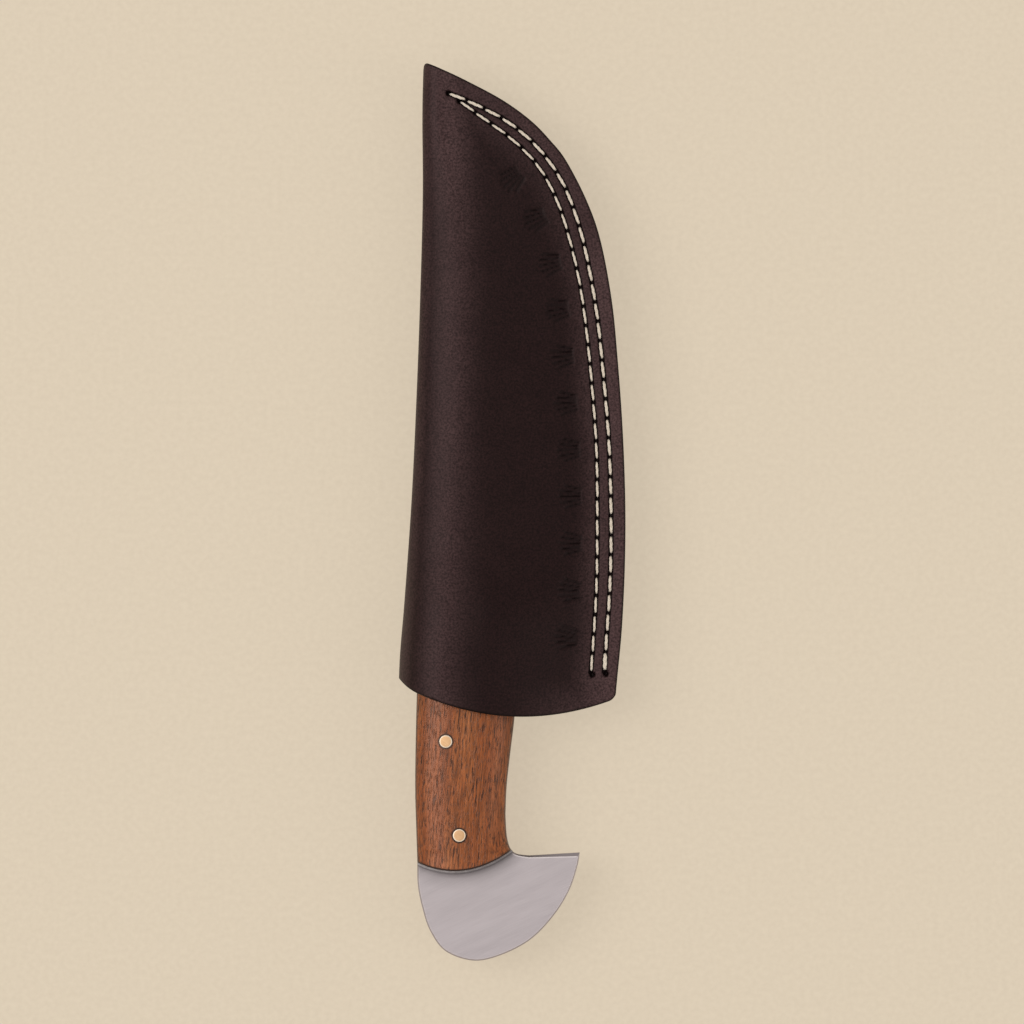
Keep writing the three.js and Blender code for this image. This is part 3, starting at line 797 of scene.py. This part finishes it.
def welt_side(line, count):
    """The stretch of a line between the drain hole and the mouth, as count + 1 places."""
    past_drain = line[:, 0] > x_at(fold_line, line[:, 1]) + DRAIN_HOLE
    kept = line[past_drain & (line[:, 1] > mouth_y(line[:, 0]) + 0.001)]
    return spline(kept[:: max(1, len(kept) // 60)], count)


def welt_strip():
    """The filler between the panels: a strip with a softly rounded, burnished outer edge."""
    count = 240
    outside = welt_side(inset_line(edge_line, WELT_RECESS), count)
    inside = welt_side(margin_line, count)
    half = WELT / 2 - FACE_GAP
    vertices = []
    for share, rise in WELT_PROFILE:
        line = mix(inside, outside, share)
        line[-1, 1] = mouth_y(line[-1, 0]) + 0.00015
        vertices.append(np.c_[line, np.full(len(line), KNIFE_Z + half * rise)])
    vertices = np.stack(vertices, 1).reshape(-1, 3)
    faces = ring_faces(count + 1, len(WELT_PROFILE), capped=True)
    mesh_piece("welt_strip", "welt", "sheath", "welt_leather", vertices, faces, 50)


# ---- thread ----
PLIES = 3
TWIST = 0.9  # half turns of the plies from a stitch's middle to its end
TURN_STEP = 0.9  # how much further round the plies of the next stitch stand
SLANT = 0.00007  # how far a stitch's ends stand to either side of its row
HOLE_ROOM = 0.00048  # from the middle of an awl hole to the stitch that leaves it
STITCH_RISE = 0.00022
STITCH_DIVE = 0.0011
LOCKED = 1.35  # how much wider the outer row's last stitch is, which is sewn twice


def stitch(start, end, surface_z, face, width, phase):
    """One stitch of twisted plies from hole to hole, on the face that looks up (1) or down (-1)."""
    u = np.linspace(-1, 1, 23)
    length = np.hypot(*(end - start))
    heading = (end - start) / length
    left = np.array([-heading[1], heading[0]])
    lengthwise = heading * (u * (length / 2 - HOLE_ROOM))[:, None]
    flat = (start + end) / 2 + lengthwise + left * (face * SLANT * u)[:, None]
    dive = np.clip((np.abs(u) - 0.78) / 0.22, 0, 1) ** 1.8
    rise = STITCH_RISE * (1 - 0.4 * u**2) - (STITCH_RISE + STITCH_DIVE) * dive
    centre = np.c_[flat, surface_z + face * rise]
    swell = width / 2 * (1 - 0.38 * np.abs(u) ** 3)
    offset = 0.46 * swell
    strands = []
    for ply in range(PLIES):
        turn = phase + ply * 2 * math.pi / PLIES + u * math.pi * TWIST
        aside = left * (np.cos(turn) * offset)[:, None]
        strands.append(tube(centre + np.c_[aside, np.sin(turn) * offset * 0.75], swell * 0.56, 8))
    return strands


def thread_piece(name, replaced, strands):
    mesh_piece(name, replaced, "sheath", "thread", *joined(strands), 60)


def stitch_row(name):
    row, holes = ROWS[name], row_lines[name]
    strands = []
    for face in (1, -1):
        for k in range(row["stitches"]):
            locked = k == row["stitches"] - 1 and name == "outer"
            width = row["width"] * (LOCKED if locked else 1)
            surface_z = KNIFE_Z + face * SEAM_HALF
            strands += stitch(holes[k], holes[k + 1], surface_z, face, width, k * TURN_STEP)
    thread_piece(f"stitches_{name}_row", f"thread_{name}_row", strands)


# ---- belt loop ----
LOOP_END = 0.009  # length of each end that lies on the sheath
LOOP_RAMP = 0.006
LOOP_SEAT = KNIFE_Z - BACK_HALF - 0.0001
LOOP_RIM = 0.0005
LOOP_INSET_X, LOOP_INSET_Y = 0.003, 0.0022  # from the strap's sides and ends to its stitches
LOOP_PITCH = 0.0042
LOOP_THREAD = 0.0009


def loop_height(y):
    """Height of the strap's under side: on the floor along its middle, on the sheath at its ends."""
    from_end = np.minimum(y - loop_low.y, loop_high.y - y) - LOOP_END
    return mix(LOOP_SEAT - LOOP_LEATHER, 0.0, smooth(from_end / LOOP_RAMP))


def even_places(start, end):
    count = max(1, round(np.hypot(*(end - start)) / LOOP_PITCH))
    return np.linspace(start, end, count + 1)


def loop_box(end_y):
    """Awl holes along the sides of the box of stitches that holds the strap's end from end_y upwards."""
    left, right = loop_low.x + LOOP_INSET_X, loop_high.x - LOOP_INSET_X
    low, high = end_y + LOOP_INSET_Y, end_y + LOOP_END - LOOP_INSET_Y
    corners = np.array([(left, low), (right, low), (right, high), (left, high), (left, low)])
    return [even_places(a, b) for a, b in zip(corners[:-1], corners[1:])]


LOOP_BOXES = {"mouth": loop_box(loop_low.y), "tip": loop_box(loop_high.y - LOOP_END)}


def loop_marks(flat):
    """How deep and how dark the grooves and holes of the strap's stitches are, the darkness being painted
    shade in the grooves.
    """
    sunk, dark = np.zeros(len(flat)), np.zeros(len(flat))
    for holes in [*LOOP_BOXES["mouth"], *LOOP_BOXES["tip"]]:
        away = distance_to(holes, flat)
        sunk = np.maximum(sunk, 0.00035 * bump(away, 0.0007))
        dark = np.maximum(dark, smooth((0.00085 - away) / 0.0002))
        for hole in holes:
            sunk = np.maximum(sunk, 0.0010 * bump(from_place(hole, flat), 0.0006))
    return sunk, dark


def belt_loop():
    """The strap: rounded, burnished edges, and grooves where it is sewn down."""
    middle, half = (loop_low.x + loop_high.x) / 2, (loop_high.x - loop_low.x) / 2
    edge = half - LOOP_RIM * (1 - np.cos(np.linspace(0, math.pi / 2, 4)))
    columns = np.r_[-edge, np.linspace(-half + 0.0008, half - 0.0008, 85), edge[::-1]]
    x, y = np.meshgrid(middle + columns, np.linspace(loop_low.y, loop_high.y, 297))
    flat = np.c_[x.ravel(), y.ravel()]
    from_end = np.minimum(flat[:, 1] - loop_low.y, loop_high.y - flat[:, 1])
    from_border = np.minimum(half - np.abs(flat[:, 0] - middle), from_end)
    drop = rim_drop(from_border, LOOP_RIM)
    sunk, dark = loop_marks(flat)
    base = loop_height(flat[:, 1])
    vertices = np.concatenate([np.c_[flat, base + drop + sunk], np.c_[flat, base + LOOP_LEATHER - drop]])
    masks = {
        "pale": np.full(len(vertices), 0.55),
        "groove_shade_and_stamps": np.r_[dark, np.zeros(len(flat))],
        "burnish": np.tile(np.clip(1.3 - from_border / 0.0005, 0, 1), 2),
    }
    faces = slab_faces(*x.shape)
    mesh_piece("belt_loop_strap", "belt_loop", "sheath", "sheath_leather", vertices, faces, 50, masks)


def loop_stitches(end):
    strands = []
    for holes in LOOP_BOXES[end]:
        for k in range(len(holes) - 1):
            surface_z = LOOP_SEAT - LOOP_LEATHER
            strands += stitch(holes[k], holes[k + 1], surface_z, -1, LOOP_THREAD, k * TURN_STEP)
    thread_piece(f"loop_stitches_{end}_end", f"loop_thread_{end}_end", strands)


# ---- knife: the steel ----
PLATE_TOP = -0.007  # the ground blade starts here
CHAMFER = 0.00035
BEAK_CHAMFER = 0.00095
BEAK_TAPER = 0.016  # width over which the beak's chamfer narrows towards the grip
SHINE_WIDTH = 0.00035
EDGE_HALF = 0.0004  # half thickness behind the sharpened edge
KEEN_HALF = 0.00003
GRIND_SHARE, KEEN_SHARE = 0.22, 0.965  # where the grind and the sharpened edge start across the blade
TIP_THINNER = 0.5  # the spine's thickness at the tip, as a share
MITRE_REACH = 0.003

spine_line = spline(SPINE_AND_BACK, 240)
cutting_line = spline(CUTTING_EDGE, 240)


def blade_surface(y):
    """x and half thickness at shares across the blade from spine to cutting edge, at heights y."""
    flat = np.linspace(0.012, GRIND_SHARE, 6)
    across = np.r_[0, flat, np.linspace(GRIND_SHARE, KEEN_SHARE, 22)[1:], 0.98, 1]
    y = y[:, None]
    half = STEEL / 2 * mix(1, TIP_THINNER, smooth((y - 0.020) / 0.083))
    ground = smooth((y + 0.008 - 0.0035 * (across - 0.5)) / 0.0065)
    fall = np.clip((across - GRIND_SHARE) / (KEEN_SHARE - GRIND_SHARE), 0, 1)
    keen = mix(EDGE_HALF, KEEN_HALF, (across - KEEN_SHARE) / (1 - KEEN_SHARE))
    bevel = np.where(across > KEEN_SHARE, keen, mix(half, EDGE_HALF, fall))
    plain = np.where(across == 1, half - CHAMFER, half)
    x = mix(x_at(spine_line, y), x_at(cutting_line, y), across)
    return x, np.where(across == 0, half - CHAMFER, mix(plain, bevel, ground))


def plate_outline():
    """Outline of the plate below the ground blade: down its back, round the butt, and up the grip."""
    back = spine_line[(spine_line[:, 1] < PLATE_TOP - 0.0005) & (spine_line[:, 1] > BUTT[0][1] + 0.0003)]
    beak_edge = np.linspace(BUTT[-1], BEAK_TO_GRIP[0], 26)[1:-1]
    ricasso = spline(RICASSO, 60)
    ricasso = ricasso[ricasso[:, 1] < PLATE_TOP - 0.0002]
    start, end = [(x_at(line, PLATE_TOP), PLATE_TOP) for line in (spine_line, cutting_line)]
    grip = [spline(BEAK_TO_GRIP, 48), spline(GRIP, 60)[1:-1], ricasso]
    return np.concatenate([[start], back, spline(BUTT, 200), beak_edge, *grip, [end]])


def inward(line):
    """Unit directions into the plate at each point of its outline, with mitres at corners."""
    before, after = np.diff(line, axis=0, prepend=line[:1]), np.diff(line, axis=0, append=line[-1:])
    before[0], after[-1] = after[0], before[-1]
    left = []
    for step in (before, after):
        step = step / np.hypot(*step.T)[:, None]
        left.append(np.stack([-step[:, 1], step[:, 0]], -1))
    total = left[0] + left[1]
    total /= np.hypot(*total.T)[:, None]
    return total / np.maximum(0.35, (total * left[0]).sum(1))[:, None]


def inset_outline(line, toward, corner, inset):
    """The outline moved into the plate, with the two sides of the beak's corner meeting in a mitre."""
    moved = line + toward * inset[:, None]
    sides = np.array([line[corner] - line[corner - 1], line[corner + 1] - line[corner]])
    sides /= np.hypot(*sides.T)[:, None]
    normals = np.stack([-sides[:, 1], sides[:, 0]], -1)
    mitre = line[corner] + np.linalg.solve(normals, inset[[corner - 1, corner + 1]])
    near = from_place(line[corner], line) < MITRE_REACH
    place = np.arange(len(line))
    past = np.where(place < corner, (moved - mitre) @ sides[0] > 0, (moved - mitre) @ sides[1] < 0)
    moved[(near & past) | (place == corner)] = mitre
    return moved


def plate_rim(line):
    """Rings of the plate's chamfered rim, upper face to lower, and how dark and how bright each is: a
    painted dark reflection on the chamfer and a painted highlight along its inner border.
    """
    toward = inward(line)
    toward[0], toward[-1] = (1, 0), (-1, 0)
    corner = int(np.argmin(from_place(BUTT[-1], line)))
    on_beak = (np.arange(len(line)) >= corner) & (line[:, 0] > 0.0005)
    widening = np.clip((line[:, 0] - 0.001) / BEAK_TAPER, 0, 1)
    width = CHAMFER + np.where(on_beak, (BEAK_CHAMFER - CHAMFER) * widening, 0)
    lip = np.minimum(width, 0.5 * BEAK_CHAMFER)
    blade_x = blade_surface(np.array([PLATE_TOP]))[0][0]
    rings, dark, bright = [], [], []
    for inset, drop, darkness, shine in (
        (width + SHINE_WIDTH, 0, 0, 0), (width, 0, 0, 1), (0.86 * width, 0.14, 1, 0), (0 * width, 1, 1, 0),
    ):
        flat = inset_outline(line, toward, corner, inset)
        if drop < 1:
            flat[0], flat[-1] = (blade_x[1], PLATE_TOP), (blade_x[-2], PLATE_TOP)
        rings.append(np.c_[flat, STEEL / 2 - drop * lip])
        dark.append(darkness * np.where(on_beak, 1.0, 0.35))
        bright.append(shine * np.where(on_beak, 0.8, 0.15))
    rings += [ring * (1, 1, -1) for ring in reversed(rings)]
    return rings, dark + dark[::-1], bright + bright[::-1]


def knife_steel():
    """Blade, tang and hooked butt in one piece of plate."""
    line = plate_outline()
    rings, dark, bright = plate_rim(line)
    y = np.r_[
        np.linspace(PLATE_TOP, 0.002, 26), np.linspace(0.003, 0.098, 96), np.linspace(0.0985, 0.10235, 16),
    ]
    x, z = blade_surface(y)
    x[0, 0], x[0, -1] = line[0, 0], line[-1, 0]
    rows, columns = x.shape
    y = np.repeat(y, columns)
    sides = [np.c_[x.ravel(), y, face * z.ravel()] for face in (1, -1)]
    vertices = np.concatenate(rings + sides) + (0, 0, KNIFE_Z)
    up = len(rings) * len(line)
    down = up + x.size
    faces = grid_faces(len(rings), len(line))
    faces += grid_faces(rows, columns, up) + grid_faces(rows, columns, down)
    last_row = (rows - 1) * columns + np.arange(columns)
    for wall in (np.arange(rows) * columns, np.arange(rows) * columns + columns - 1, last_row):
        faces += np.stack([up + wall[:-1], up + wall[1:], down + wall[1:], down + wall[:-1]], -1).tolist()
    # the plate's flat faces end along the ground blade's first row
    for ring, first in ((0, up), (len(rings) - 1, down)):
        outline = range(ring * len(line), (ring + 1) * len(line))
        faces.append([*outline, *range(first + columns - 2, first, -1)])
    plain = np.zeros(2 * x.size)
    # masks for the painted dark reflection on the chamfer and the painted highlight along its inner border
    masks = {"burnish": np.concatenate([*dark, plain]), "shine": np.concatenate([*bright, plain])}
    mesh_piece("knife_steel", "blade", "knife", "steel", vertices, faces, 12, masks)


# ---- knife: liners, scales and pins ----
END_GRAIN_AND_SHADE = 0.45  # how dark the foot of the wood's cut end is, where 1 is black: dark end grain, with painted shade where it meets the liner
BROW = 0.00035  # radius of the wood's edge above its curved rear end
LINER_LIP = 0.00018
PIN_CLEAR = 0.00012  # the dark joint between a pin and its hole
PIN_SIDES = 56
PIN_PROFILE = [  # shares of its radius, and how far it stands above the wood there
    (0.0, 0.00016), (0.5, 0.00015), (0.79, 0.00013), (0.83, 0.00011), (0.92, 0.00004), (0.97, -0.00004),
    (1.0, -0.00020),
]
PIN_RIM = 0.81  # share of the radius where its chamfer starts

grip_line = np.concatenate([spline(BEAK_TO_GRIP, 60), spline(GRIP, 120)[1:]])
grip_line = grip_line[grip_line[:, 0] < 0.0013]


def arc_y(x):
    return ARC_LOW + ARC_CURVE * (x - ARC_MIDDLE) ** 2


def handle_places(across, along, past=0.0):
    """x and y at shares across the handle (0 back, 1 grip) and along it, to past its curved rear end."""
    shape = np.broadcast(across, along).shape
    x, y = np.full(shape, -0.012), np.zeros(shape)
    for _ in range(12):
        y = mix(HANDLE_FRONT, arc_y(x) - past, along)
        x = (x + mix(x_at(spine_line, y), x_at(grip_line, y), across)) / 2
    return x, y


def scale_height(across, along):
    side = np.sqrt(np.clip(1 - np.abs(2 * across - 1) ** 2.4, 0, 1))
    from_front = np.clip(along * (HANDLE_FRONT - ARC_LOW) / FRONT_ROUND, 0, 1)
    front = np.sqrt(1 - (1 - from_front) ** 2)
    return SCALE_EDGE + (SCALE - SCALE_EDGE) * side * mix(0.15, 1, front)


def wooden_scale(side, face):
    """A wooden scale: full in the middle, turned down to the liner along its sides and front."""
    across = ((1 - np.cos(np.linspace(0, math.pi, 61))) / 2)[None, :]
    along = np.r_[0, 0.004, 0.01, 0.02, 0.035, np.linspace(0.05, 0.985, 90), 0.991, 0.9955, 0.998, 0.9993, 1]
    along = along[:, None]
    x, y = handle_places(across, along)
    from_end = (1 - along) * (HANDLE_FRONT - arc_y(x))
    from_side = np.minimum(across, 1 - across) * (x[:, -1:] - x[:, :1])
    height = scale_height(across, along) - rim_drop(from_end, BROW)
    base = STEEL / 2 + LINER + FACE_GAP
    top = np.c_[x.ravel(), y.ravel(), (KNIFE_Z + face * (base + height)).ravel()]
    bottom = np.c_[x.ravel(), y.ravel(), np.full(x.size, KNIFE_Z + face * base)]
    # painted shade: dark lines along the brow of the rear end and along the sides
    end_line = smooth((0.0007 - from_end) / 0.0003)
    side_line = 0.75 * smooth((0.00055 - from_side) / 0.0004)
    dark = np.r_[np.maximum(end_line, side_line).ravel(), np.full(x.size, END_GRAIN_AND_SHADE)]
    vertices, faces = np.concatenate([top, bottom]), slab_faces(*x.shape)
    names = f"wooden_scale_{side}", f"scale_{side}"
    mesh_piece(*names, "knife", "handle_wood", vertices, faces, 40, {"burnish": dark})


def liner_sheet(side, face):
    """The fibre liner, with its top edge broken where it stands past the wood."""
    share = np.linspace(0, 1, 90)
    none, full = np.zeros(90), np.ones(90)
    stretches = [(none, share), (share, full), (full, share[::-1])]
    back, rear, grip = [np.stack(handle_places(*at, LINER_SHOWS), -1) for at in stretches]
    outline = np.concatenate([back, rear[1:], grip[1:]])
    pull = outline.mean(0) - outline
    pull /= np.hypot(*pull.T)[:, None]
    near, far = STEEL / 2 + FACE_GAP, STEEL / 2 + LINER
    levels = [(outline, near), (outline, far - LINER_LIP), (outline + pull * LINER_LIP, far)]
    size = len(outline)
    vertices = np.concatenate([np.c_[flat, np.full(size, KNIFE_Z + face * z)] for flat, z in levels])
    faces = ring_faces(len(levels), size, capped=True)
    masks = {"burnish": np.r_[np.ones(2 * size), np.zeros(size)]}
    mesh_piece(f"fibre_liner_{side}", f"liner_{side}", "knife", "liner", vertices, faces, 30, masks)


def wood_top(x, y):
    """Height above the blade's mid-plane of the wood's outer face."""
    across = (x - x_at(spine_line, y)) / (x_at(grip_line, y) - x_at(spine_line, y))
    along = (HANDLE_FRONT - y) / (HANDLE_FRONT - arc_y(x))
    return STEEL / 2 + LINER + FACE_GAP + scale_height(across, along)


def brass_pin(name):
    """Brass rod, ground to the curve of the wood at both ends, with a chamfered rim."""
    low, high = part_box(name)
    middle_x, middle_y = (low.x + high.x) / 2, (low.y + high.y) / 2
    radius = (high.x - low.x) / 2 - PIN_CLEAR
    turn = np.linspace(0, 2 * math.pi, PIN_SIDES, endpoint=False)
    rings, rim = [], []
    for share, stand in PIN_PROFILE:
        x, y = middle_x + radius * share * np.cos(turn), middle_y + radius * share * np.sin(turn)
        rings.append(np.stack([x, y, wood_top(x, y) + stand], -1))
        rim.append(np.full(PIN_SIDES, float(share > PIN_RIM)))
    rings += [ring * (1, 1, -1) for ring in reversed(rings)]
    vertices = np.concatenate(rings) + (0, 0, KNIFE_Z)
    # the rim mask paints a highlight on the chamfer
    masks = {"burnish": np.concatenate(rim + rim[::-1])}
    faces = ring_faces(len(rings), PIN_SIDES)
    mesh_piece(f"brass_{name}", name, "knife", "pin_brass", vertices, faces, 35, masks)


sheath_body()
welt_strip()
for row_name in ROWS:
    stitch_row(row_name)
belt_loop()
for end_name in LOOP_BOXES:
    loop_stitches(end_name)
knife_steel()
for side_name, looks_to in (("front", 1), ("back", -1)):
    wooden_scale(side_name, looks_to)
    liner_sheet(side_name, looks_to)
for pin_name in PINS:
    brass_pin(pin_name)


# ---- floor, light and camera ----
FLOOR_REACH, FLOOR_Z = 6.0, -0.0001
FRAME_WIDTH = 0.274
EYE_HEIGHT = 5.0
LIGHT_COLOR = (1.0, 0.985, 0.965)


def pale_floor(tree):
    """A pale surface that glows a little, so that the object's shadow stays faint."""
    mottle = grain(tree, object_space(tree), 700)
    color = ramp(tree, mottle, [(0.3, (0.187, 0.159, 0.122)), (0.7, (0.197, 0.168, 0.129))])
    return {
        "Base Color": color,
        "Emission Color": color,
        "Emission Strength": 2.75,
        "Roughness": 0.9,
        "Specular IOR Level": 0.1,
    }


def floor():
    mesh = bpy.data.meshes.new("floor")
    corners = [(-1, -1), (1, -1), (1, 1), (-1, 1)]
    mesh.from_pydata([(FLOOR_REACH * x, FLOOR_REACH * y, FLOOR_Z) for x, y in corners], [], [(0, 1, 2, 3)])
    mesh.materials.append(new_material("floor_pale", pale_floor))
    linked("floor", mesh)


def area_light(name, place, size, radiance):
    light = bpy.data.lights.new(name, "AREA")
    light.shape = "RECTANGLE"
    light.size, light.size_y = size
    light.energy = radiance * math.pi * size[0] * size[1]
    light.color = LIGHT_COLOR
    lamp = linked(name, light)
    lamp.location = place
    lamp.rotation_euler = (-Vector(place)).to_track_quat("-Z", "Y").to_euler()


def world(radiance, color):
    made = bpy.data.worlds.new("studio")
    made.use_nodes = True
    tree = made.node_tree
    plug(tree, tree.nodes["Background"], {"Color": (*color, 1), "Strength": radiance})
    bpy.context.scene.world = made


def camera():
    """Straight above the object, through a very long lens."""
    lens = bpy.data.cameras.new("camera")
    lens.sensor_width = 36
    lens.lens = lens.sensor_width * (EYE_HEIGHT - KNIFE_Z) / FRAME_WIDTH
    lens.clip_end = 50
    eye = linked("camera", lens)
    eye.location = (0, 0, EYE_HEIGHT)
    bpy.context.scene.camera = eye


floor()
area_light("softbox_left", (-1.5, 0.35, 2.1), (1.3, 1.9), 4.1)
area_light("softbox_right", (1.9, -0.5, 1.5), (0.7, 1.6), 2.0)
world(0.60, (1.0, 0.985, 0.97))
camera()
bpy.context.scene.view_settings.view_transform = "Standard"
